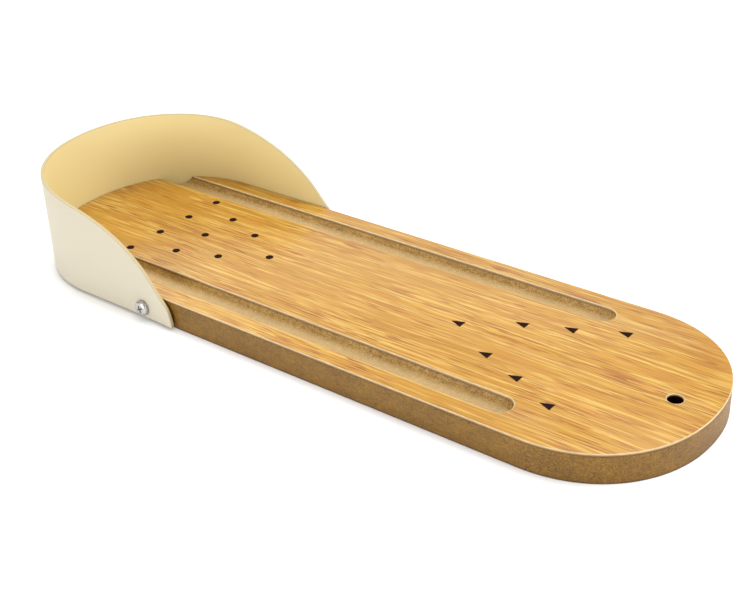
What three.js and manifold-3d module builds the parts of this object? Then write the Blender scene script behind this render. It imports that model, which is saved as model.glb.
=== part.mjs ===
// Miniature tabletop bowling lane: a grain-faced MDF board with two ball gutters,
// printed pin spots and aiming arrows, and a bent plywood backstop round the pin end.
//
// Millimetres, +Z up. The origin is under the middle of the whole object, on the surface
// that it stands on. +X points to the bowler's end, so the pins stand at the -X end.

import * as THREE from 'three';
import { mergeVertices } from 'three/addons/utils/BufferGeometryUtils.js';
import Module from 'manifold-3d';

const wasm = await Module();
wasm.setup();

// ---------------------------------------------------------------- driving dimensions

const LANE_WIDTH = 100;
const LANE_THICKNESS = 12;
const STRAIGHT_LENGTH = 209; // parallel sides, between the two rounded ends
const END_REACH = 48; // how far each rounded end reaches past the straight sides
const END_FULLNESS = 2.13; // 2 is a plain ellipse, and more bulges towards a rectangle

const FACE_THICKNESS = 0.8; // wood-grain laminate on top
const BACKING_THICKNESS = 0.4; // balancing sheet underneath

const GUTTER_CUTTER_RADIUS = 5.5; // round-nose cutter
const GUTTER_DEPTH = 4.2;
const GUTTER_OFFSET = 36.6; // from the lane's centre line to the gutter's
const GUTTER_START = -10; // front tip of the gutter, from the bowler's end axis

const PEG_HOLE_RADIUS = 2.9;
const PEG_HOLE_DEPTH = 9;
const PEG_HOLE_FORWARD = 32.5; // from the bowler's end axis towards the bowler

const WALL_THICKNESS = 1.5;
const WALL_FOOT = 1.2; // height of the plywood's lower edge
const WALL_GAP = 0.2; // between the lane's side and the plywood
const WALL_SPRING = 1; // how far each end of the plywood springs out past its screw
const WALL_SPRING_START = 95; // distance along the edge where it starts to spring out
// The plywood's top edge: distance along the lane's edge from the middle of the pin end,
// and height above the lane's surface. The other half is its mirror image.
const WALL_TOP_EDGE = [
  [0, 32.2],
  [30, 31.8],
  [60, 30.5],
  [78, 28],
  [92, 24.2],
  [104, 18.9],
  [115, 10.8],
  [123, 1.8],
  [127.6, -3.4],
  [129.3, -8.8],
];

const SCREW_HEAD_RADIUS = 3.25;
const SCREW_HEAD_HEIGHT = 1.9;
const SCREW_SHANK_RADIUS = 1.45;
const SCREW_LENGTH = 12; // under the head
const SCREW_FROM_WALL_END = 16;
const SCREW_HEIGHT = 5.6;

const SPOT_RADIUS = 1.6;
const SPOT_ROW_PITCH = 18.5; // along the lane
const SPOT_SIDE_PITCH = 17.7; // across the lane
const SPOT_BACK_ROW = -206.85; // back row of four, from the bowler's end axis
const SPOT_SECOND_ROW_SIDE = 11.5; // the pair behind the head pin stands wider
const ARROW_LENGTH = 4.9;
const ARROW_WIDTH = 3.9;
// Each arrow's middle: from the bowler's end axis along the lane, and across it.
const ARROW_POINTS = [
  [-0.7, 28.4],
  [-18.8, 19.8],
  [-35.8, 12.8],
  [-56.2, 0],
  [-35.8, -12.8],
  [-18.8, -19.8],
  [-0.7, -28.4],
];
const PRINT_THICKNESS = 0.15;

const FIT_GAP = 0.3; // clearance between a piece and the hole it sits in
const END_SEGMENTS = 72; // facets round each end of the lane
const WALL_SEGMENTS = 56; // facets along each half of the plywood
const ROUND_SEGMENTS = 40; // facets round the gutters, the peg hole and the screws

// ---------------------------------------------------------------- derived places

const HALF_WIDTH = LANE_WIDTH / 2;
const OVERALL_LENGTH = STRAIGHT_LENGTH + 2 * END_REACH + WALL_GAP + WALL_THICKNESS;
const BOWLER_AXIS = OVERALL_LENGTH / 2 - END_REACH; // x where the bowler's end starts
const PIN_AXIS = BOWLER_AXIS - STRAIGHT_LENGTH; // x where the pin end starts
const CORE_BOTTOM = BACKING_THICKNESS;
const CORE_TOP = LANE_THICKNESS - FACE_THICKNESS;
const MARGIN = 5; // how far a cutter runs past what it cuts

// ---------------------------------------------------------------- materials

function finish(color, roughness, metalness = 0) {
  return new THREE.MeshStandardMaterial({ color, roughness, metalness });
}

const MDF = finish(0x9a7440, 0.85);
const GRAIN_LAMINATE = finish(0xe0a850, 0.4);
const BACKING = finish(0x4a3a26, 0.7);
const PLYWOOD = finish(0xe6dcc0, 0.6);
const SCREW_STEEL = finish(0xb8b8b4, 0.35, 1);
const PRINT_INK = finish(0x1e0e0a, 0.5);

// ---------------------------------------------------------------- helpers

// Closed geometry to a solid that can be cut.
function toSolid(geometry) {
  geometry.deleteAttribute('normal');
  geometry.deleteAttribute('uv');
  const merged = mergeVertices(geometry, 1e-4);
  return new wasm.Manifold(new wasm.Mesh({
    numProp: 3,
    vertProperties: new Float32Array(merged.attributes.position.array),
    triVerts: new Uint32Array(merged.index.array),
  }));
}

function toGeometry(solid) {
  const mesh = solid.getMesh();
  const geometry = new THREE.BufferGeometry();
  geometry.setAttribute('position', new THREE.BufferAttribute(mesh.vertProperties, 3));
  geometry.setIndex(new THREE.BufferAttribute(mesh.triVerts, 1));
  geometry.computeVertexNormals();
  return geometry;
}

function cut(geometry, cutters) {
  let solid = toSolid(geometry);
  for (const cutter of cutters) {
    solid = solid.subtract(toSolid(cutter));
  }
  return toGeometry(solid);
}

function named(name, geometry, material) {
  const mesh = new THREE.Mesh(geometry, material);
  mesh.name = name;
  return mesh;
}

// Upright cylinder standing on z = bottom.
function upright(radius, bottom, height) {
  const geometry = new THREE.CylinderGeometry(radius, radius, height, ROUND_SEGMENTS);
  geometry.rotateX(Math.PI / 2);
  geometry.translate(0, 0, bottom + height / 2);
  return geometry;
}

// A quarter of a rounded end, from its tip to where the straight side starts.
class EndQuarter extends THREE.Curve {
  getPoint(t, target = new THREE.Vector2()) {
    const angle = (t * Math.PI) / 2;
    const out = Math.max(Math.cos(angle), 0) ** (2 / END_FULLNESS);
    const side = Math.sin(angle) ** (2 / END_FULLNESS);
    return target.set(END_REACH * out, HALF_WIDTH * side);
  }
}

const endQuarter = new EndQuarter();
endQuarter.arcLengthDivisions = 1000;

// The lane seen from above.
function laneOutline() {
  const quarter = endQuarter.getSpacedPoints(END_SEGMENTS / 2);
  const right = quarter.map((p) => new THREE.Vector2(BOWLER_AXIS + p.x, p.y));
  const left = quarter.map((p) => new THREE.Vector2(PIN_AXIS - p.x, p.y)).reverse();
  const far = [...right, ...left];
  const near = far.slice(1, -1).map((p) => new THREE.Vector2(p.x, -p.y)).reverse();
  return new THREE.Shape([...far, ...near]);
}

// A slab of the lane's outline between two heights.
function laneSlab(bottom, top) {
  const slab = new THREE.ExtrudeGeometry(laneOutline(), { depth: top - bottom, bevelEnabled: false });
  slab.translate(0, 0, bottom);
  return slab;
}

// ---------------------------------------------------------------- cutters

// Path of a round-nose cutter that leaves the board at the pin end.
function gutterCutter(side) {
  const radius = GUTTER_CUTTER_RADIUS;
  const nose = Math.sqrt(radius ** 2 - (radius - GUTTER_DEPTH) ** 2);
  const tip = BOWLER_AXIS + GUTTER_START - nose;
  const length = tip - (PIN_AXIS - END_REACH) + MARGIN;
  const profile = [new THREE.Vector2(0, -length)];
  for (let i = 0; i <= ROUND_SEGMENTS / 4; i += 1) {
    const angle = (i / (ROUND_SEGMENTS / 4)) * (Math.PI / 2);
    profile.push(new THREE.Vector2(radius * Math.cos(angle), radius * Math.sin(angle)));
  }
  profile[profile.length - 1].x = 0;
  profile.splice(1, 0, new THREE.Vector2(radius, -length));
  const cutter = new THREE.LatheGeometry(profile, ROUND_SEGMENTS);
  cutter.rotateZ(-Math.PI / 2);
  cutter.translate(tip, side * GUTTER_OFFSET, LANE_THICKNESS - GUTTER_DEPTH + radius);
  return cutter;
}

function pegHoleCutter() {
  const cutter = upright(PEG_HOLE_RADIUS, LANE_THICKNESS - PEG_HOLE_DEPTH, PEG_HOLE_DEPTH + MARGIN);
  cutter.translate(BOWLER_AXIS + PEG_HOLE_FORWARD, 0, 0);
  return cutter;
}

// ---------------------------------------------------------------- plywood backstop

const QUARTER_LENGTH = endQuarter.getLength();
const WALL_END = WALL_TOP_EDGE[WALL_TOP_EDGE.length - 1][0];

// Point and outward direction at a signed distance along the lane's edge from the pin end's tip.
function laneEdge(distance) {
  const side = distance < 0 ? -1 : 1;
  const along = Math.abs(distance);
  if (along >= QUARTER_LENGTH) {
    const x = PIN_AXIS + along - QUARTER_LENGTH;
    return { x, y: side * HALF_WIDTH, outX: 0, outY: side };
  }
  const point = endQuarter.getPointAt(along / QUARTER_LENGTH);
  const tangent = endQuarter.getTangentAt(Math.max(along, 1e-3) / QUARTER_LENGTH);
  const outX = along === 0 ? -1 : -tangent.y;
  const outY = along === 0 ? 0 : -tangent.x;
  return { x: PIN_AXIS - point.x, y: side * point.y, outX, outY: side * outY };
}

// Clearance from the lane's side to the plywood's inner face.
function wallGap(distance) {
  const past = Math.max(Math.abs(distance) - WALL_SPRING_START, 0);
  return WALL_GAP + WALL_SPRING * (past / (WALL_END - WALL_SPRING_START)) ** 2;
}

// Where the plywood's inner face is, plus a depth into the sheet.
function wallPoint(distance, z, depth) {
  const edge = laneEdge(distance);
  const offset = wallGap(distance) + depth;
  return new THREE.Vector3(edge.x + edge.outX * offset, edge.y + edge.outY * offset, z);
}

// Columns of the sheet from one end to the other: place along the edge, and top height.
function wallColumns() {
  const half = new THREE.SplineCurve(WALL_TOP_EDGE.map(([s, z]) => new THREE.Vector2(s, z)));
  const right = half.getSpacedPoints(WALL_SEGMENTS);
  const left = right.slice(1).map((p) => new THREE.Vector2(-p.x, p.y)).reverse();
  return [...left, ...right];
}

// A flat sheet with a column at each station, bent round the lane's edge.
function bentSheet() {
  const columns = wallColumns();
  const steps = columns.length - 1;
  const sheet = new THREE.BoxGeometry(steps, 1, 1, steps, 1, 1);
  const position = sheet.attributes.position;
  for (let i = 0; i < position.count; i += 1) {
    const column = columns[Math.round(position.getX(i) + steps / 2)];
    const top = LANE_THICKNESS + column.y;
    const z = position.getY(i) > 0 ? top : WALL_FOOT;
    // On this path the box's front face, at +Z, becomes the sheet's inner face.
    const depth = position.getZ(i) > 0 ? 0 : WALL_THICKNESS;
    const point = wallPoint(column.x, z, depth);
    position.setXYZ(i, point.x, point.y, point.z);
  }
  return sheet;
}

// ---------------------------------------------------------------- screws

const SCREW_PLACE = WALL_END - SCREW_FROM_WALL_END; // distance along the lane's edge
const SCREW_X = laneEdge(SCREW_PLACE).x;
const SCREW_SEAT = HALF_WIDTH + wallGap(SCREW_PLACE) + WALL_THICKNESS + FIT_GAP;

// Pan-head wood screw on the Y axis, its head's underside at y = 0 and its tip towards +Y.
function screwGeometry() {
  const tipLength = 2 * SCREW_SHANK_RADIUS;
  const profile = [
    new THREE.Vector2(0, SCREW_LENGTH),
    new THREE.Vector2(SCREW_SHANK_RADIUS, SCREW_LENGTH - tipLength),
    new THREE.Vector2(SCREW_SHANK_RADIUS, 0),
    new THREE.Vector2(SCREW_HEAD_RADIUS, 0),
    new THREE.Vector2(SCREW_HEAD_RADIUS, -0.35 * SCREW_HEAD_HEIGHT),
    new THREE.Vector2(0.8 * SCREW_HEAD_RADIUS, -0.8 * SCREW_HEAD_HEIGHT),
    new THREE.Vector2(0.4 * SCREW_HEAD_RADIUS, -SCREW_HEAD_HEIGHT),
    new THREE.Vector2(0, -SCREW_HEAD_HEIGHT),
  ];
  return new THREE.LatheGeometry(profile.reverse(), ROUND_SEGMENTS);
}

function screw(name, side) {
  const mesh = named(name, screwGeometry(), SCREW_STEEL);
  mesh.position.set(SCREW_X, side * SCREW_SEAT, SCREW_HEIGHT);
  mesh.rotation.x = side > 0 ? Math.PI : 0;
  return mesh;
}

// Hole for a screw's shank, through the plywood and into the lane's side.
function screwHoleCutter(side) {
  const radius = SCREW_SHANK_RADIUS + FIT_GAP;
  const length = SCREW_LENGTH + FIT_GAP + MARGIN;
  const cutter = new THREE.CylinderGeometry(radius, radius, length, ROUND_SEGMENTS / 2);
  const middle = SCREW_SEAT + MARGIN - length / 2;
  cutter.translate(SCREW_X, side * middle, SCREW_HEIGHT);
  return cutter;
}

// ---------------------------------------------------------------- printed marks

function pinSpotPoints() {
  const spots = [];
  const back = BOWLER_AXIS + SPOT_BACK_ROW;
  for (let row = 0; row < 4; row += 1) {
    const count = 4 - row;
    const pitch = count === 2 ? 2 * SPOT_SECOND_ROW_SIDE : SPOT_SIDE_PITCH;
    for (let i = 0; i < count; i += 1) {
      spots.push([back + row * SPOT_ROW_PITCH, (i - (count - 1) / 2) * pitch]);
    }
  }
  return spots.reverse();
}

function pinSpots() {
  return pinSpotPoints().map(([x, y], i) => {
    const spot = upright(SPOT_RADIUS, LANE_THICKNESS, PRINT_THICKNESS);
    const mesh = named(`pin_spot_${String(i + 1).padStart(2, '0')}`, spot, PRINT_INK);
    mesh.position.set(x, y, 0);
    return mesh;
  });
}

// Arrowheads point at the pins.
function laneArrows() {
  const shape = new THREE.Shape();
  shape.moveTo((-2 / 3) * ARROW_LENGTH, 0);
  shape.lineTo(ARROW_LENGTH / 3, -ARROW_WIDTH / 2);
  shape.lineTo(ARROW_LENGTH / 3, ARROW_WIDTH / 2);
  shape.closePath();
  return ARROW_POINTS.map(([x, y], i) => {
    const arrow = new THREE.ExtrudeGeometry(shape, { depth: PRINT_THICKNESS, bevelEnabled: false });
    const mesh = named(`lane_arrow_${i + 1}`, arrow, PRINT_INK);
    mesh.position.set(BOWLER_AXIS + x, y, LANE_THICKNESS);
    return mesh;
  });
}

// ---------------------------------------------------------------- assembly

const SIDES = [-1, 1];
const faceCutters = [...SIDES.map(gutterCutter), pegHoleCutter()];
const screwHoles = SIDES.map(screwHoleCutter);

const bowlingLane = new THREE.Group();
bowlingLane.add(
  named('lane_core', cut(laneSlab(CORE_BOTTOM, CORE_TOP), [...faceCutters, ...screwHoles]), MDF),
  named('lane_face', cut(laneSlab(CORE_TOP, LANE_THICKNESS), faceCutters), GRAIN_LAMINATE),
  named('base_backing', laneSlab(0, CORE_BOTTOM), BACKING),
  named('backstop_wall', cut(bentSheet(), screwHoles), PLYWOOD),
  screw('backstop_screw_near', -1),
  screw('backstop_screw_far', 1),
  ...pinSpots(),
  ...laneArrows(),
);

export default bowlingLane;
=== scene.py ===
import math
from bisect import bisect_left

import bmesh
import bpy
from mathutils import Matrix, Vector
from mathutils.geometry import tessellate_polygon


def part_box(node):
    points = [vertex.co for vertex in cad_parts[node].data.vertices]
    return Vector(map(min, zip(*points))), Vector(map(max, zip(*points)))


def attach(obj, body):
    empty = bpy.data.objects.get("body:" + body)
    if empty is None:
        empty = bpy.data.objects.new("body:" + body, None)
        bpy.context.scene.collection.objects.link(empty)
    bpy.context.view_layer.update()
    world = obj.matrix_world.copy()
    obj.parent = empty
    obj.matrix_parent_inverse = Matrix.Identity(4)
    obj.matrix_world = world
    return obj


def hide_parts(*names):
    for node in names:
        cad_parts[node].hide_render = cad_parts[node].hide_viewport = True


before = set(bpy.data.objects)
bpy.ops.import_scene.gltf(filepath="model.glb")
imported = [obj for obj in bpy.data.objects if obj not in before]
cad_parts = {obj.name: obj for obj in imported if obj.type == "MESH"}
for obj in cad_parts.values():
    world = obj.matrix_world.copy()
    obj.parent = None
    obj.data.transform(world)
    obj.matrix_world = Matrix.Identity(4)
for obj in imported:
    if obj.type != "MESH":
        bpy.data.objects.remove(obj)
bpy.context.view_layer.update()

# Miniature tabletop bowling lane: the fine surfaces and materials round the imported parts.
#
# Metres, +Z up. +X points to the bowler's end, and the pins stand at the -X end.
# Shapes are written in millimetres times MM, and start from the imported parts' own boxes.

MM = 0.001
BODY = "root"

# ---------------------------------------------------------------- driving dimensions

CORE_LOW, CORE_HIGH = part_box("lane_core")
LANE_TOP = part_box("lane_face")[1].z
HALF_WIDTH = CORE_HIGH.y
END_REACH = 48 * MM  # how far each rounded end reaches past the straight sides
END_FULLNESS = 2.13  # 2 is a plain ellipse, and more bulges towards a rectangle
BOWLER_AXIS = CORE_HIGH.x - END_REACH
PIN_AXIS = CORE_LOW.x + END_REACH

GUTTER_RADIUS = 5.5 * MM
GUTTER_DEPTH = 4.2 * MM
GUTTER_OFFSET = 36.6 * MM
GUTTER_START = 10 * MM  # from the bowler's end axis back to the gutter's front tip
GUTTER_FLOOR = LANE_TOP - GUTTER_DEPTH
GUTTER_AXIS_HEIGHT = GUTTER_FLOOR + GUTTER_RADIUS

PEG_RADIUS = 2.9 * MM
PEG_DEPTH = 9 * MM
PEG_X = BOWLER_AXIS + 32.5 * MM

FACE_BEVEL = 0.34 * MM  # broken edge of the laminate
BACKING_BEVEL = 0.12 * MM

WALL_THICKNESS = 1.5 * MM
WALL_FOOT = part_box("backstop_wall")[0].z
WALL_ROUNDING = 0.3 * MM
WALL_GAP = 0.2 * MM  # between the lane's side and the plywood
WALL_SPRING = 1 * MM  # how far each end of the plywood springs out
WALL_SPRING_START = 95 * MM  # distance along the lane's edge where it starts to spring out
# The plywood's top edge: distance along the lane's edge from the pin end's tip, and
# height above the lane's surface, in millimetres. The other half is its mirror image.
WALL_TOP_EDGE = [
    (0, 32.2),
    (30, 31.8),
    (60, 30.5),
    (78, 28),
    (92, 24.2),
    (104, 18.9),
    (115, 10.8),
    (123, 1.8),
    (127.6, -3.4),
    (129.3, -8.8),
]
WALL_END = WALL_TOP_EDGE[-1][0] * MM

SCREWS = (("backstop_screw_near", -1), ("backstop_screw_far", 1))
SCREW_HEAD_RADIUS = 3.25 * MM
SCREW_HEAD_HEIGHT = 1.9 * MM
SCREW_HOLE_RADIUS = 1.75 * MM
SCREW_HOLE_START = 8 * MM  # outside the board's side
SCREW_HOLE_LENGTH = 20.5 * MM
SCREW_CORE_RADIUS = 1.05 * MM
SCREW_CREST_RADIUS = 1.45 * MM
SCREW_PITCH = 1.1 * MM
SCREW_TIP = 2.9 * MM
RECESS_TURN = 0.4  # radians that the cross recess is turned by

SHARP_ANGLE = 30  # degrees between two faces, past which their shared edge stays crisp
GUTTER_OVERRUN = 5 * MM  # how far a gutter cutter runs past the board's pin end
CURVE_STEPS = 2000  # points along half of the plywood's top edge, before even spacing

# ---------------------------------------------------------------- the lane's edge


def running_length(points):
    """How far each point is along the line through them all."""
    along = [0.0]
    for a, b in zip(points, points[1:]):
        along.append(along[-1] + (b - a).length)
    return along


def quarter_points(steps=4000):
    """Points along a quarter of a rounded end, from its tip to the straight side."""
    points = []
    for i in range(steps + 1):
        angle = i / steps * math.pi / 2
        out = END_REACH * max(math.cos(angle), 0) ** (2 / END_FULLNESS)
        across = HALF_WIDTH * math.sin(angle) ** (2 / END_FULLNESS)
        points.append(Vector((out, across)))
    return points


QUARTER_POINTS = quarter_points()
QUARTER_ALONG = running_length(QUARTER_POINTS)
QUARTER = QUARTER_ALONG[-1]
HALF_EDGE = 2 * QUARTER + BOWLER_AXIS - PIN_AXIS


def on_quarter(distance):
    """Point of a rounded end, as reach past its axis and place across, at a distance from its tip."""
    i = min(max(bisect_left(QUARTER_ALONG, distance), 1), len(QUARTER_ALONG) - 1)
    span = QUARTER_ALONG[i] - QUARTER_ALONG[i - 1]
    share = (distance - QUARTER_ALONG[i - 1]) / span
    return QUARTER_POINTS[i - 1].lerp(QUARTER_POINTS[i], share)


def along_at_side(across):
    """Distance from a rounded end's tip to where its edge is that far from the centre line."""
    i = bisect_left([p.y for p in QUARTER_POINTS], across)
    low, high = QUARTER_POINTS[i - 1], QUARTER_POINTS[i]
    share = (across - low.y) / (high.y - low.y)
    return QUARTER_ALONG[i - 1] + share * (QUARTER_ALONG[i] - QUARTER_ALONG[i - 1])


def outward(point):
    """Outward direction of a rounded end at a point given as reach and place across."""
    power = END_FULLNESS - 1
    x = (max(point.x, 0) / END_REACH) ** power / END_REACH
    y = (point.y / HALF_WIDTH) ** power / HALF_WIDTH
    return Vector((x, y)).normalized()


def lane_edge(distance):
    """Point and outward direction at a signed distance along the edge from the pin end's tip."""
    side = -1 if distance < 0 else 1
    along = abs(distance)
    if along < QUARTER:
        reach = on_quarter(along)
        point = Vector((PIN_AXIS - reach.x, reach.y))
        out = outward(reach) * Vector((-1, 1))
    elif along < HALF_EDGE - QUARTER:
        point = Vector((PIN_AXIS + along - QUARTER, HALF_WIDTH))
        out = Vector((0, 1))
    else:
        reach = on_quarter(max(HALF_EDGE - along, 0))
        point = Vector((BOWLER_AXIS + reach.x, reach.y))
        out = outward(reach)
    return point * Vector((1, side)), out * Vector((1, side))


def spaced(start, end, steps):
    """steps + 1 evenly spaced numbers from start to end."""
    return [start + (end - start) * i / steps for i in range(steps + 1)]


def mirrored_loop(half):
    """A closed loop from its +Y half, whose first and last points are on the centre line."""
    other = [Vector((p.x, -p.y)) for p in half[1:-1]]
    return half + other[::-1]


def inset(loop, amount):
    """The closed anticlockwise loop moved inwards, with its corners kept sharp."""
    moved = []
    for i, here in enumerate(loop):
        before = (here - loop[i - 1]).normalized()
        after = (loop[(i + 1) % len(loop)] - here).normalized()
        left = Vector((-before.y, before.x))
        right = Vector((-after.y, after.x))
        moved.append(here + (left + right) * (amount / (1 + left.dot(right))))
    return moved


def lane_loop():
    """The lane's outline seen from above."""
    return mirrored_loop([lane_edge(s)[0] for s in spaced(HALF_EDGE, 0, 330)])


def circle(x, y, radius, steps=64):
    turns = [2 * math.pi * i / steps for i in range(steps)]
    return [Vector((x + radius * math.cos(a), y + radius * math.sin(a))) for a in turns]


# ---------------------------------------------------------------- meshes


class Shape:
    """A mesh under construction: points, faces and which finish each face has."""

    def __init__(self):
        self.points = []
        self.faces = []
        self.finishes = []

    def ring(self, points):
        start = len(self.points)
        self.points.extend(Vector(p) for p in points)
        return list(range(start, start + len(points)))

    def face(self, corners, finish=0):
        self.faces.append(corners)
        self.finishes.append(finish)

    def band(self, lower, upper, finish=0):
        """Quads between two closed rings with as many points each."""
        for i in range(len(lower)):
            j = (i + 1) % len(lower)
            self.face([lower[i], lower[j], upper[j], upper[i]], finish)

    def stack(self, rings, finish=0):
        for lower, upper in zip(rings, rings[1:]):
            self.band(lower, upper, finish)

    def cap(self, rings, finish=0):
        """A flat face bounded by the first ring, with the other rings as holes."""
        flat = [i for ring in rings for i in ring]
        loops = [[self.points[i] for i in ring] for ring in rings]
        for triangle in tessellate_polygon(loops):
            self.face([flat[i] for i in triangle], finish)

    def build(self, name):
        mesh = bpy.data.meshes.new(name)
        mesh.from_pydata(self.points, [], self.faces)
        mesh.polygons.foreach_set("material_index", self.finishes)
        work = bmesh.new()
        work.from_mesh(mesh)
        bmesh.ops.recalc_face_normals(work, faces=work.faces)
        work.to_mesh(mesh)
        work.free()
        obj = bpy.data.objects.new(name, mesh)
        bpy.context.scene.collection.objects.link(obj)
        smooth(obj)
        return obj


def smooth(obj):
    mesh = obj.data
    mesh.polygons.foreach_set("use_smooth", [True] * len(mesh.polygons))
    mesh.set_sharp_from_angle(angle=math.radians(SHARP_ANGLE))


def at_height(loop, z):
    return [Vector((p.x, p.y, z)) for p in loop]


def carve(obj, cutters):
    """Cuts the cutters out of obj and deletes them."""
    for cutter in cutters:
        cut = obj.modifiers.new("cut", "BOOLEAN")
        cut.operation = "DIFFERENCE"
        cut.solver = "EXACT"
        cut.object = cutter
    bpy.context.view_layer.update()
    depsgraph = bpy.context.evaluated_depsgraph_get()
    old = obj.data
    obj.data = bpy.data.meshes.new_from_object(obj.evaluated_get(depsgraph))
    obj.modifiers.clear()
    name = old.name
    bpy.data.meshes.remove(old)
    obj.data.name = name
    for cutter in cutters:
        bpy.data.objects.remove(cutter)
    smooth(obj)


def lathe(name, profile, steps, place):
    """A solid of revolution about Z. Its (radius, height) points start and end on that axis."""
    shape = Shape()
    first = shape.ring([(0, 0, profile[0][1])])[0]
    rings = []
    for radius, height in profile[1:-1]:
        rings.append(shape.ring(at_height(circle(0, 0, radius, steps), height)))
    last = shape.ring([(0, 0, profile[-1][1])])[0]
    for i in range(steps):
        j = (i + 1) % steps
        shape.face([first, rings[0][j], rings[0][i]])
        shape.face([rings[-1][i], rings[-1][j], last])
    shape.stack(rings)
    obj = shape.build(name)
    obj.data.transform(place)
    return obj


# ---------------------------------------------------------------- materials


def srgb(red, green, blue):
    """A display colour, 0 to 255 a channel, as the linear colour that a shader takes."""
    linear = []
    for value in (red, green, blue):
        v = value / 255
        linear.append(v / 12.92 if v <= 0.04045 else ((v + 0.055) / 1.055) ** 2.4)
    return (*linear, 1.0)


class Look:
    """A node material under construction. Sizes are in millimetres."""

    def __init__(self, name):
        self.material = bpy.data.materials.new(name)
        self.material.use_nodes = True
        self.tree = self.material.node_tree
        self.tree.nodes.clear()
        self.surface = self.node("BsdfPrincipled")
        self.node("OutputMaterial", {"Surface": self.surface.outputs["BSDF"]})

    def feed(self, socket, value):
        if isinstance(value, bpy.types.NodeSocket):
            self.tree.links.new(value, socket)
        else:
            socket.default_value = value

    def node(self, kind, inputs=None, **settings):
        made = self.tree.nodes.new("ShaderNode" + kind)
        for name, value in settings.items():
            setattr(made, name, value)
        for name, value in (inputs or {}).items():
            self.feed(made.inputs[name], value)
        return made

    def set(self, **inputs):
        """Sets the shader's sockets, whose names have spaces where these have underscores."""
        for name, value in inputs.items():
            self.feed(self.surface.inputs[name.replace("_", " ")], value)

    def millimetres(self, vector):
        inputs = {0: vector, 1: [1 / MM] * 3}
        return self.node("VectorMath", inputs, operation="MULTIPLY").outputs[0]

    def position(self):
        return self.millimetres(self.node("TexCoord").outputs["Object"])

    def attribute(self, name):
        return self.millimetres(self.node("Attribute", attribute_name=name).outputs["Vector"])

    def parts(self, vector):
        split = self.node("SeparateXYZ", {"Vector": vector})
        return split.outputs["X"], split.outputs["Y"], split.outputs["Z"]

    def join(self, x, y, z):
        return self.node("CombineXYZ", {"X": x, "Y": y, "Z": z}).outputs["Vector"]

    def noise(self, vector, size, detail=2.0, roughness=0.5, seed=0.0):
        """Noise from 0 to 1 whose lumps have that size along each axis."""
        scale = [1 / s for s in size]
        shift = (seed * 3.1, seed * 7.7, seed * 1.3)
        mapped = self.node("Mapping", {"Vector": vector, "Location": shift, "Scale": scale})
        inputs = {"Vector": mapped.outputs["Vector"], "Scale": 1.0}
        inputs |= {"Detail": detail, "Roughness": roughness}
        return self.node("TexNoise", inputs).outputs["Fac"]

    def cells(self, vector, size):
        """Distance to the nearest of many scattered points, in their average spacing."""
        scale = [1 / s for s in size]
        mapped = self.node("Mapping", {"Vector": vector, "Scale": scale})
        inputs = {"Vector": mapped.outputs["Vector"], "Scale": 1.0}
        return self.node("TexVoronoi", inputs).outputs["Distance"]

    def math(self, operation, a, b):
        return self.node("Math", {0: a, 1: b}, operation=operation).outputs[0]

    def weighted_sum(self, *weighted):
        """The sum of (value, weight) pairs."""
        terms = [self.math("MULTIPLY", value, weight) for value, weight in weighted]
        total = terms[0]
        for term in terms[1:]:
            total = self.math("ADD", total, term)
        return total

    def spread(self, value, low, high, to_low=0.0, to_high=1.0):
        """value between low and high as a number between to_low and to_high, held at the ends."""
        inputs = {"Value": value, "From Min": low, "From Max": high, "To Min": to_low, "To Max": to_high}
        return self.node("MapRange", inputs).outputs["Result"]

    def ramp(self, value, stops):
        """Colour of a value, from (value, colour) stops in rising order."""
        made = self.node("ValToRGB", {"Fac": value})
        elements = made.color_ramp.elements
        while len(elements) < len(stops):
            elements.new(0.5)
        for element, (place, colour) in zip(elements, stops):
            element.position = place
            element.color = colour
        return made.outputs["Color"]

    def mix(self, share, a, b, blend="MIX"):
        made = self.node("Mix", data_type="RGBA", blend_type=blend)
        self.feed(made.inputs[0], share)
        self.feed(made.inputs[6], a)
        self.feed(made.inputs[7], b)
        return made.outputs[2]

    def bump(self, height, distance, strength):
        """Normal of a surface where height 1 stands that many millimetres over height 0."""
        inputs = {"Height": height, "Distance": distance * MM, "Strength": strength}
        return self.node("Bump", inputs).outputs["Normal"]


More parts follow.
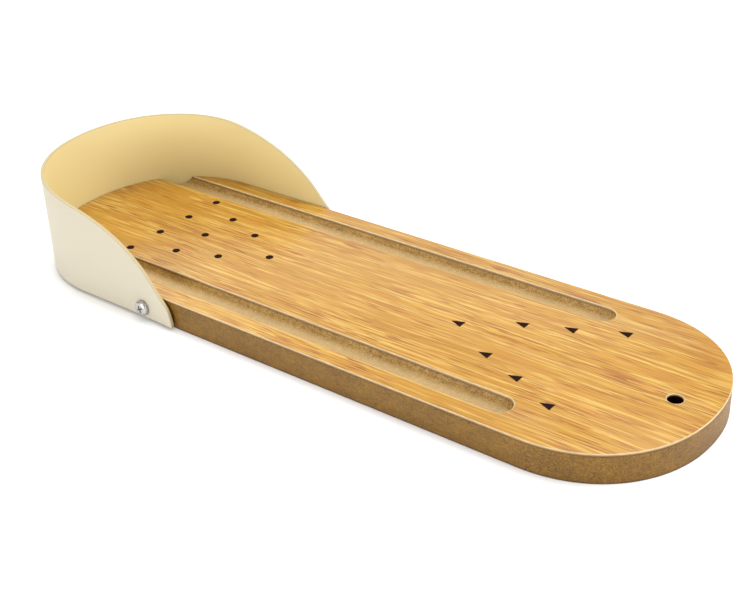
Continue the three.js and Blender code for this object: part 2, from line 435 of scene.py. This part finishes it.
def laminate_face():
    """Printed golden oak grain that runs along the lane, under a satin wear layer."""
    look = Look("grain_laminate")
    x, y = look.parts(look.position())[:2]
    place = look.join(x, y, 0.0)
    slow = look.spread(look.noise(place, (130, 45, 1), 1.0), 0.0, 1.0, -2.4, 2.4)
    quick = look.spread(look.noise(place, (34, 9, 1), 1.0, seed=2), 0.0, 1.0, -0.35, 0.35)
    bent = look.join(x, look.math("ADD", look.math("ADD", y, slow), quick), 0.0)

    bands = look.noise(bent, (120, 7, 1), 3.0, 0.6, seed=3)
    base = look.ramp(
        look.spread(bands, 0.32, 0.68),
        [(0.0, srgb(158, 112, 23)), (0.5, srgb(168, 122, 30)), (1.0, srgb(177, 132, 38))],
    )
    lines = look.noise(bent, (34, 0.95, 1), 1.0, 0.5, seed=5)
    lit = look.mix(look.spread(lines, 0.5, 0.64, 0.0, 0.85), base, srgb(194, 158, 78))
    clusters = look.spread(look.noise(bent, (60, 9, 1), 1.0, seed=8), 0.4, 0.6, 0.35, 1.0)
    patches = look.noise(bent, (30, 2.0, 1), 2.0, 0.5, seed=11)
    warm = look.mix(look.spread(patches, 0.54, 0.7, 0.0, 0.5), lit, srgb(168, 103, 27))
    streaks = look.noise(bent, (20, 0.8, 1), 1.0, 0.5, seed=7)
    depth = look.math("MULTIPLY", look.spread(streaks, 0.54, 0.63), clusters)
    toned = look.mix(depth, warm, srgb(151, 92, 12))
    pores = look.noise(bent, (11, 0.6, 1), 1.0, 0.5, seed=9)
    dark = look.math("MULTIPLY", look.spread(pores, 0.58, 0.66), clusters)
    colour = look.mix(dark, toned, srgb(132, 78, 8))

    look.set(Base_Color=colour, Specular_IOR_Level=0.5)
    look.set(Roughness=look.spread(pores, 0.4, 0.8, 0.3, 0.42))
    look.set(Normal=look.bump(pores, -0.02, 0.4))
    return look.material


def laminate_edge(name, dark, light):
    """Cut edge of the laminate."""
    look = Look(name)
    place = look.position()
    mottle = look.noise(place, (2.5, 2.5, 0.4), 3.0)
    colour = look.ramp(mottle, [(0.25, dark), (0.75, light)])
    look.set(Base_Color=colour, Roughness=0.6)
    look.set(Normal=look.bump(mottle, 0.05, 0.5))
    return look.material


def foot_band_and_rim_shade(look, height):
    """Shade of the board's edge by height: darker along its foot, and painted shade just under the
    laminate's rim.
    """
    stops = [
        (0.03, (0.42, 0.38, 0.30, 1)),
        (0.07, (0.96, 0.95, 0.93, 1)),
        (0.5, (1.0, 1.0, 1.0, 1)),
        # painted shade: the band just under the laminate's rim is darkened, standing in for the rim's
        # shadow
        (0.885, (1.0, 1.0, 1.0, 1)),
        (0.925, (0.52, 0.46, 0.40, 1)),
    ]
    return look.ramp(look.spread(height, 0.0, LANE_TOP / MM), stops)


def fibreboard(name, dark, middle, light, sheen, gloss=0.35, floor_light=0.0):
    """Bare MDF: pressed fibre with darker specks, and paler low in its gutters as painted light on their
    up-facing floor.
    """
    look = Look(name)
    place = look.position()
    height = look.parts(place)[2]
    fine = look.noise(place, (0.5, 0.5, 0.4), 2.0, 0.6)
    medium = look.noise(place, (2.1, 2.1, 1.1), 2.0, 0.6, seed=3)
    broad = look.noise(place, (13, 13, 6), 1.0, seed=6)
    tone = look.weighted_sum((fine, 0.62), (medium, 0.25), (broad, 0.13))
    fibre = look.ramp(tone, [(0.36, dark), (0.5, middle), (0.64, light)])
    specks = look.spread(look.cells(place, (2.6, 2.6, 2.6)), 0.09, 0.2, 0.6, 0.0)
    speckled = look.mix(specks, fibre, look.mix(0.6, dark, srgb(60, 36, 14)))
    # painted light: the colour pales towards the gutter floor, which faces the overhead light
    floor = GUTTER_FLOOR / MM
    floor_light_share = look.spread(height, floor + 0.2, floor + 1.6, floor_light, 0.0)
    floor_lit = look.mix(floor_light_share, speckled, srgb(196, 168, 116))
    colour = look.mix(1.0, floor_lit, foot_band_and_rim_shade(look, height), "MULTIPLY")
    look.set(Base_Color=colour, Roughness=0.5, Specular_IOR_Level=gloss)
    look.set(Sheen_Weight=sheen, Sheen_Roughness=0.25, Sheen_Tint=(1.0, 0.96, 0.9, 1.0))
    look.set(Normal=look.bump(tone, 0.25, 0.5))
    return look.material


def sawn_board():
    """The board's outer edge, sanded and a little burnished."""
    dark, middle, light = srgb(80, 53, 8), srgb(108, 75, 13), srgb(136, 99, 26)
    return fibreboard("mdf_edge", dark, middle, light, 0.0)


def milled_board():
    """The gutters, paler and fuzzier where the cutter has opened the fibres."""
    dark, middle, light = srgb(106, 77, 28), srgb(144, 109, 48), srgb(176, 142, 80)
    return fibreboard("mdf_milled", dark, middle, light, 0.06, floor_light=0.55)


def bored_board():
    """The peg hole's inside, near black."""
    dark, middle, light = srgb(8, 4, 3), srgb(18, 8, 6), srgb(34, 18, 12)
    return fibreboard("mdf_bored", dark, middle, light, 0.0, gloss=0.05)


def balancing_sheet():
    """Brown paper sheet glued under the board."""
    look = Look("backing")
    place = look.position()
    mottle = look.noise(place, (6, 3, 1), 4.0, 0.6)
    fibre = look.noise(place, (0.9, 0.25, 0.4), 2.0, seed=2)
    colour = look.ramp(mottle, [(0.3, srgb(74, 54, 32)), (0.7, srgb(98, 74, 46))])
    colour = look.mix(look.spread(fibre, 0.55, 0.8, 0.0, 0.35), colour, srgb(126, 100, 66))
    look.set(Base_Color=colour, Roughness=look.spread(mottle, 0.3, 0.7, 0.62, 0.78))
    look.set(Normal=look.bump(fibre, 0.03, 0.5))
    return look.material


def veneer(name, light, dark, vein):
    """Pale sanded plywood face whose grain runs up and down the sheet."""
    look = Look(name)
    along, up = look.parts(look.attribute("sheet"))[:2]
    place = look.join(along, up, 0.0)
    sway = look.spread(look.noise(place, (8, 55, 1), 1.0), 0.0, 1.0, -1.6, 1.6)
    bent = look.join(look.math("ADD", along, sway), up, 0.0)
    broad = look.noise(bent, (9, 130, 1), 2.0, 0.55, seed=2)
    fine = look.noise(bent, (0.9, 26, 1), 2.0, 0.6, seed=4)
    flecks = look.noise(bent, (0.35, 5, 1), 1.0, 0.5, seed=6)
    tone = look.weighted_sum((broad, 0.65), (fine, 0.35))
    colour = look.ramp(tone, [(0.34, dark), (0.64, light)])
    colour = look.mix(look.spread(flecks, 0.58, 0.74, 0.0, 0.5), colour, vein)
    look.set(Base_Color=colour, Roughness=look.spread(fine, 0.3, 0.7, 0.5, 0.62))
    look.set(Specular_IOR_Level=0.4)
    look.set(Normal=look.bump(look.math("ADD", fine, flecks), 0.04, 0.5))
    return look.material


def ply_edge():
    """Cut edge of three-ply sheet: end grain in the outer plies, long grain between them."""
    look = Look("ply_edge")
    sheet = look.attribute("sheet")
    depth = look.parts(sheet)[2]
    face, outer, glue, inner = (170, 155, 118), (166, 150, 112), (130, 110, 76), (154, 136, 98)
    half = [(0.0, face), (0.30, outer), (0.34, glue), (0.38, inner)]
    stops = half + [(1 - place, colour) for place, colour in half[::-1]]
    stops = [(place, srgb(*colour)) for place, colour in stops]
    plies = look.ramp(look.spread(depth, 0.0, WALL_THICKNESS / MM), stops)
    grain = look.noise(sheet, (0.5, 0.5, 0.12), 3.0, 0.6)
    colour = look.mix(look.spread(grain, 0.5, 0.75, 0.0, 0.35), plies, srgb(148, 128, 92))
    look.set(Base_Color=colour, Roughness=0.7)
    look.set(Normal=look.bump(grain, 0.06, 0.5))
    return look.material


def zinc_steel():
    """Zinc-plated screw with fine turning marks."""
    look = Look("screw_steel")
    place = look.position()
    wear = look.noise(place, (0.8, 0.8, 0.8), 3.0)
    marks = look.noise(place, (0.12, 1.2, 0.12), 2.0, seed=3)
    colour = look.ramp(wear, [(0.3, srgb(150, 148, 144)), (0.7, srgb(196, 195, 192))])
    look.set(Base_Color=colour, Metallic=1.0, Roughness=look.spread(wear, 0.3, 0.7, 0.3, 0.5))
    look.set(Normal=look.bump(marks, 0.02, 0.4))
    return look.material


def ink():
    """Near-black printed mark, slightly satin and worn."""
    look = Look("print_ink")
    place = look.position()
    patchy = look.noise(place, (0.7, 0.7, 0.7), 3.0, 0.6)
    colour = look.ramp(patchy, [(0.35, srgb(18, 3, 2)), (0.75, srgb(34, 9, 7))])
    look.set(Base_Color=colour, Roughness=look.spread(patchy, 0.3, 0.7, 0.5, 0.65))
    look.set(Specular_IOR_Level=0.05)
    look.set(Normal=look.bump(patchy, 0.02, 0.4))
    return look.material


def floor_paint():
    look = Look("floor")
    haze = look.noise(look.position(), (120, 120, 120), 2.0)
    colour = look.ramp(haze, [(0.3, (0.90, 0.90, 0.90, 1)), (0.7, (0.93, 0.93, 0.93, 1))])
    look.set(Base_Color=colour, Roughness=0.9, Specular_IOR_Level=0.1)
    return look.material


# ---------------------------------------------------------------- the board


def slot_half_width(z):
    """Half the width of a gutter at a height."""
    return math.sqrt(GUTTER_RADIUS**2 - (GUTTER_AXIS_HEIGHT - z) ** 2)


GUTTER_NOSE_X = BOWLER_AXIS - GUTTER_START - slot_half_width(LANE_TOP)


def face_loop(z):
    """The laminate's outline at a height, with both gutters let in from the pin end."""
    half = slot_half_width(z)
    outer_side = GUTTER_OFFSET + half
    inner_side = GUTTER_OFFSET - half
    outer_along = along_at_side(outer_side)
    inner_along = along_at_side(inner_side)
    outer_x = lane_edge(outer_along)[0].x
    inner_x = lane_edge(inner_along)[0].x
    points = [lane_edge(s)[0] for s in spaced(HALF_EDGE, outer_along, 300)]
    points += [Vector((x, outer_side)) for x in spaced(outer_x, GUTTER_NOSE_X, 60)[1:-1]]
    for angle in spaced(math.pi / 2, -math.pi / 2, 36):
        nose = Vector((math.cos(angle), math.sin(angle))) * half
        points.append(Vector((GUTTER_NOSE_X, GUTTER_OFFSET)) + nose)
    points += [Vector((x, inner_side)) for x in spaced(GUTTER_NOSE_X, inner_x, 60)[1:-1]]
    points += [lane_edge(s)[0] for s in spaced(inner_along, 0, 60)]
    return mirrored_loop(points)


def rounding(radius, steps=3):
    """(drop below the rim, inset) steps over a rounded edge, from the side up to the top."""
    angles = spaced(0, math.pi / 2, steps)
    return [(radius * (1 - math.sin(a)), radius * (1 - math.cos(a))) for a in angles]


def build_face(finishes):
    """Laminate sheet with its edges broken all round, at the gutters and at the peg hole."""
    levels = [(CORE_HIGH.z, 0.0)]
    levels += [(LANE_TOP - drop, back) for drop, back in rounding(FACE_BEVEL)]
    shape = Shape()
    rims = []
    holes = []
    for z, back in levels:
        rims.append(shape.ring(at_height(inset(face_loop(z), back), z)))
        holes.append(shape.ring(at_height(circle(PEG_X, 0, PEG_RADIUS + back), z)))
    for rings in (rims, holes):
        shape.band(rings[0], rings[1], 2)
        shape.stack(rings[1:], 1)
    shape.cap([rims[-1], holes[-1]], 0)
    shape.cap([rims[0], holes[0]], 2)
    finished(shape.build("lane_face_fine"), finishes, ["lane_face"])


def gutter_cutter(side):
    """Round-nose cutter that leaves the board at the pin end."""
    tail = GUTTER_NOSE_X - CORE_LOW.x + GUTTER_OVERRUN
    rows = 40
    profile = [(0, -tail)]
    profile += [(GUTTER_RADIUS, -tail * i / rows) for i in range(rows, 0, -1)]
    for angle in spaced(0, math.pi / 2, 24)[:-1]:
        profile.append((GUTTER_RADIUS * math.cos(angle), GUTTER_RADIUS * math.sin(angle)))
    profile.append((0, GUTTER_RADIUS))
    turn = Matrix.Rotation(math.pi / 2, 4, "Y")
    centre = Vector((GUTTER_NOSE_X, side * GUTTER_OFFSET, GUTTER_AXIS_HEIGHT))
    return lathe("gutter_cutter", profile, 128, Matrix.Translation(centre) @ turn)


def drill(name, radius, centre, axis, length):
    """Cylinder cutter from a centre along an axis."""
    profile = [(0, 0), (radius, 0), (radius, length), (0, length)]
    turn = Vector(axis).to_track_quat("Z", "Y").to_matrix().to_4x4()
    return lathe(name, profile, 64, Matrix.Translation(centre) @ turn)


def core_finish(point):
    """Which finish the board has at a point: 0 outside, 1 in a gutter, 2 in the peg hole."""
    peg_reach = 1.01 * PEG_RADIUS
    if Vector((point.x - PEG_X, point.y)).length < peg_reach:
        return 2
    across = abs(point.y) - GUTTER_OFFSET
    ahead = max(point.x - GUTTER_NOSE_X, 0)
    from_axis = Vector((ahead, across, point.z - GUTTER_AXIS_HEIGHT)).length
    slack = 0.02 * GUTTER_RADIUS
    return 1 if abs(from_axis - GUTTER_RADIUS) < slack else 0


def build_core(finishes):
    """Fibreboard with its gutters, the blind peg hole and the screws' pilot holes."""
    shape = Shape()
    loop = lane_loop()
    rings = [shape.ring(at_height(loop, z)) for z in spaced(CORE_LOW.z, CORE_HIGH.z, 6)]
    shape.stack(rings)
    shape.cap([rings[0]])
    shape.cap([rings[-1]])
    core = shape.build("lane_core_fine")
    cutters = [gutter_cutter(side) for side in (-1, 1)]
    peg_foot = (PEG_X, 0, LANE_TOP - PEG_DEPTH)
    cutters.append(drill("peg_cutter", PEG_RADIUS, peg_foot, (0, 0, 1), 2 * PEG_DEPTH))
    cutters += screw_cutters()
    carve(core, cutters)
    for face in core.data.polygons:
        face.material_index = core_finish(face.center)
    finished(core, finishes, ["lane_core"])


def build_backing(finishes):
    shape = Shape()
    loop = lane_loop()
    bottom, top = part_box("base_backing")
    levels = [(bottom.z + drop, back) for drop, back in rounding(BACKING_BEVEL, 2)]
    levels = levels[::-1] + [(top.z, 0.0)]
    rings = [shape.ring(at_height(inset(loop, back), z)) for z, back in levels]
    shape.stack(rings)
    shape.cap([rings[0]])
    shape.cap([rings[-1]])
    finished(shape.build("base_backing_fine"), finishes, ["base_backing"])


# ---------------------------------------------------------------- the backstop


def spline(points, t):
    """Catmull-Rom curve through the points, for t from 0 to 1."""
    place = t * (len(points) - 1)
    i = min(int(place), len(points) - 2)
    share = place - i
    p0, p1, p2, p3 = (points[min(max(k, 0), len(points) - 1)] for k in range(i - 1, i + 3))
    v1 = (p2 - p0) / 2
    v2 = (p3 - p1) / 2
    cubic = (2 * p1 - 2 * p2 + v1 + v2) * share**3
    square = (3 * p2 - 3 * p1 - 2 * v1 - v2) * share**2
    return cubic + square + v1 * share + p1


def top_edge(steps):
    """Even points on half of the plywood's top edge, as distance along the lane and height."""
    points = [Vector((s * MM, LANE_TOP + z * MM)) for s, z in WALL_TOP_EDGE]
    dense = [spline(points, t) for t in spaced(0, 1, CURVE_STEPS)]
    along = running_length(dense)
    wanted = spaced(0, along[-1], steps)
    return [dense[min(bisect_left(along, distance), CURVE_STEPS)] for distance in wanted]


def wall_point(flat, depth):
    """The flat sheet's point, bent round the lane, at a depth from its inner face."""
    past = max(abs(flat.x) - WALL_SPRING_START, 0) / (WALL_END - WALL_SPRING_START)
    point, out = lane_edge(flat.x)
    at = point + out * (WALL_GAP + WALL_SPRING * past**2 + depth)
    return Vector((at.x, at.y, flat.y))


def blank_outline(steps):
    """The flat sheet's outline, anticlockwise: along its foot, then back along its top edge."""
    half = top_edge(steps)
    top = [Vector((-p.x, p.y)) for p in half[:0:-1]] + half
    foot = [Vector((p.x, WALL_FOOT)) for p in top]
    return foot + top[::-1]


def build_wall(finishes):
    """Bent three-ply sheet with sanded edges.

    Its "sheet" attribute holds each point's place on the flat sheet, and its depth in it.
    """
    outline = blank_outline(110)
    count = len(outline) // 2
    edge = rounding(WALL_ROUNDING)
    levels = edge[::-1]
    levels += [(WALL_THICKNESS - depth, back) for depth, back in edge]
    shape = Shape()
    rings = []
    places = []
    for depth, back in levels:
        flat = inset(outline, back)
        rings.append(shape.ring([wall_point(p, depth) for p in flat]))
        places += [(p.x, p.y, depth) for p in flat]
    shape.stack(rings, 2)
    for ring, finish in ((rings[0], 0), (rings[-1], 1)):
        foot = ring[:count]
        top = ring[count:][::-1]
        for i in range(count - 1):
            shape.face([foot[i], foot[i + 1], top[i + 1], top[i]], finish)
    wall = shape.build("backstop_wall_fine")
    sheet = wall.data.attributes.new("sheet", "FLOAT_VECTOR", "POINT")
    sheet.data.foreach_set("vector", [c for place in places for c in place])
    carve(wall, screw_cutters())
    finished(wall, finishes, ["backstop_wall"])


# ---------------------------------------------------------------- screws


def screw_centre(name):
    low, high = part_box(name)
    return (low + high) / 2


def screw_cutters():
    """Clearance holes for both screws, through the plywood and into the board."""
    cutters = []
    for name, side in SCREWS:
        centre = screw_centre(name)
        start = Vector((centre.x, side * (HALF_WIDTH + SCREW_HOLE_START), centre.z))
        inward = (0, -side, 0)
        cutters.append(drill("screw_cutter", SCREW_HOLE_RADIUS, start, inward, SCREW_HOLE_LENGTH))
    return cutters


def screw_head_profile():
    """Pan head from its underside at 0 up to its crown, as (radius, height) points."""
    flat = 0.55 * SCREW_HEAD_RADIUS
    shoulder = 0.4 * SCREW_HEAD_HEIGHT
    profile = [(0, 0), (SCREW_HEAD_RADIUS, 0), (SCREW_HEAD_RADIUS, shoulder)]
    for angle in spaced(0, math.pi / 2, 8)[1:]:
        radius = flat + (SCREW_HEAD_RADIUS - flat) * math.cos(angle)
        profile.append((radius, shoulder + (SCREW_HEAD_HEIGHT - shoulder) * math.sin(angle)))
    return profile + [(0, SCREW_HEAD_HEIGHT)]


def cross_cutter(turn, place):
    """One arm pair of the cross recess, tapering into the head from above its crown."""
    top_reach, top_half = 1.75 * MM, 0.38 * MM
    low_reach, low_half = 0.9 * MM, 0.19 * MM
    foot = 0.55 * MM
    above = 1.2 * SCREW_HEAD_HEIGHT
    corners = [(-1, -1), (1, -1), (1, 1), (-1, 1)]
    shape = Shape()
    lower = shape.ring([(a * low_reach, b * low_half, foot) for a, b in corners])
    upper = shape.ring([(a * top_reach, b * top_half, above) for a, b in corners])
    shape.band(lower, upper)
    shape.face(lower)
    shape.face(upper)
    cutter = shape.build("cross_cutter")
    cutter.data.transform(place @ Matrix.Rotation(turn, 4, "Z"))
    return cutter


def shank_mesh(length, steps=32):
    """Threaded shank from the head's underside at 0 down to its tip."""
    rows_per_turn = 8
    flank = 3.2  # how steeply the thread falls away on both sides of its crest
    thread = SCREW_CREST_RADIUS - SCREW_CORE_RADIUS
    shape = Shape()
    rows = int(length / (SCREW_PITCH / rows_per_turn))
    rings = []
    for row in range(rows):
        depth = length * row / rows
        taper = min(1.0, (length - depth) / SCREW_TIP)
        ring = []
        for i in range(steps):
            angle = 2 * math.pi * i / steps
            turn = (depth / SCREW_PITCH + i / steps) % 1
            crest = max(0.0, 1 - abs(turn - 0.5) * flank)
            radius = (SCREW_CORE_RADIUS + thread * crest) * taper
            ring.append((radius * math.cos(angle), radius * math.sin(angle), -depth))
        rings.append(shape.ring(ring))
    tip = shape.ring([(0, 0, -length)])[0]
    shape.stack(rings)
    shape.cap([rings[0]])
    for i in range(steps):
        shape.face([rings[-1][i], rings[-1][(i + 1) % steps], tip])
    return shape


def build_screw(name, side, finishes):
    """Pan-head wood screw: a head with a cross recess, and a threaded shank."""
    low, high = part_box(name)
    centre = screw_centre(name)
    tip, crown = (low.y, high.y) if side > 0 else (high.y, low.y)
    seat = crown - side * SCREW_HEAD_HEIGHT
    turn = Vector((0, side, 0)).to_track_quat("Z", "Y").to_matrix().to_4x4()
    place = Matrix.Translation((centre.x, seat, centre.z)) @ turn
    head = lathe(name + "_fine", screw_head_profile(), 64, place)
    carve(head, [cross_cutter(RECESS_TURN + a, place) for a in (0, math.pi / 2)])
    shank = shank_mesh(abs(seat - tip)).build(name + "_shank")
    shank.data.transform(place)
    finished(head, finishes, [name])
    finished(shank, finishes, [])


# ---------------------------------------------------------------- assembly


def finished(piece, finishes, nodes):
    """Gives a piece its materials, ties it to the body, and hides the nodes that it stands for."""
    for finish in finishes:
        piece.data.materials.append(finish)
    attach(piece, BODY)
    if nodes:
        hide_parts(*nodes)


def refinish(prefix, finish):
    """New material on the CAD nodes whose names start with prefix."""
    for name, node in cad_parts.items():
        if name.startswith(prefix):
            node.data.materials.clear()
            node.data.materials.append(finish)


def build_lane():
    build_core([sawn_board(), milled_board(), bored_board()])
    # The rim's paler copy of the cut edge is partly its own colour and partly a painted highlight where
    # the rounding catches the overhead light
    rim = laminate_edge("laminate_rim", srgb(166, 144, 108), srgb(196, 174, 134))
    body = laminate_edge("laminate_body", srgb(120, 88, 36), srgb(146, 112, 56))
    build_face([laminate_face(), rim, body])
    build_backing([balancing_sheet()])
    # The inner face's warmer tan copy is partly the veneer's own tone and partly painted warm light
    # bounced off the golden lane
    inner = veneer("ply_inner", srgb(216, 199, 144), srgb(204, 186, 130), srgb(184, 163, 110))
    outer = veneer("ply_outer", srgb(185, 179, 162), srgb(178, 170, 151), srgb(165, 154, 133))
    build_wall([inner, outer, ply_edge()])
    steel = zinc_steel()
    for name, side in SCREWS:
        build_screw(name, side, [steel])
    mark = ink()
    refinish("pin_spot_", mark)
    refinish("lane_arrow_", mark)


# ---------------------------------------------------------------- stage

FLOOR_RADII = (0.5, 3, 6)
CAMERA_AZIMUTH = 38.182  # degrees from -Y towards +X
CAMERA_ELEVATION = 29.748
CAMERA_ROLL = -1.946
CAMERA_DISTANCE = 501.41 * MM
CAMERA_TARGET = Vector((12.2, -3.78, 12.0)) * MM
CAMERA_LENS = 61.53
CAMERA_SENSOR = 36.0


def direction(azimuth, elevation):
    """Unit vector from the object to a place at that azimuth and elevation, in degrees."""
    a = math.radians(azimuth)
    e = math.radians(elevation)
    return Vector((math.sin(a) * math.cos(e), -math.cos(a) * math.cos(e), math.sin(e)))


def add_camera():
    data = bpy.data.cameras.new("camera")
    data.lens = CAMERA_LENS
    data.sensor_width = CAMERA_SENSOR
    data.clip_start = 0.01
    data.clip_end = 100
    camera = bpy.data.objects.new("camera", data)
    bpy.context.scene.collection.objects.link(camera)
    back = direction(CAMERA_AZIMUTH, CAMERA_ELEVATION)
    aim = back.to_track_quat("Z", "Y").to_matrix().to_4x4()
    roll = Matrix.Rotation(math.radians(CAMERA_ROLL), 4, "Z")
    place = Matrix.Translation(CAMERA_TARGET + back * CAMERA_DISTANCE)
    camera.matrix_world = place @ aim @ roll
    bpy.context.scene.camera = camera


def add_softbox(name, azimuth, elevation, distance, size, power):
    """Softbox aimed at the origin. Angles in degrees, distance and size in metres, power in watts."""
    data = bpy.data.lights.new(name, "AREA")
    data.shape = "RECTANGLE"
    data.size, data.size_y = size
    data.energy = power
    light = bpy.data.objects.new(name, data)
    bpy.context.scene.collection.objects.link(light)
    light.location = direction(azimuth, elevation) * distance
    light.rotation_mode = "QUATERNION"
    light.rotation_quaternion = direction(azimuth, elevation).to_track_quat("Z", "Y")


def add_sky(strength):
    world = bpy.data.worlds.new("studio")
    world.use_nodes = True
    back = world.node_tree.nodes["Background"]
    back.inputs["Color"].default_value = (1.0, 1.0, 1.0, 1)
    back.inputs["Strength"].default_value = strength
    bpy.context.scene.world = world


def add_floor():
    """Pale floor that reaches far past the object on every side."""
    shape = Shape()
    rings = [shape.ring(at_height(circle(0, 0, radius, 96), 0)) for radius in FLOOR_RADII]
    shape.cap([rings[0]])
    shape.stack(rings)
    floor = shape.build("floor")
    floor.data.materials.append(floor_paint())


def build_stage():
    add_camera()
    add_floor()
    add_sky(0.51)
    add_softbox("overhead", 158, 73, 1.6, (1.3, 1.3), 24.5)
    add_softbox("front", -8, 17, 1.2, (1.0, 0.5), 10.5)
    add_softbox("left", -98, 50, 0.5, (0.25, 0.25), 0.6)
    add_softbox("right", 106, 17, 0.8, (0.9, 0.42), 5.2)
    add_softbox("back", -140, 28, 1.2, (1.2, 0.45), 1.8)
    bpy.context.scene.view_settings.view_transform = "Standard"


build_stage()
build_lane()
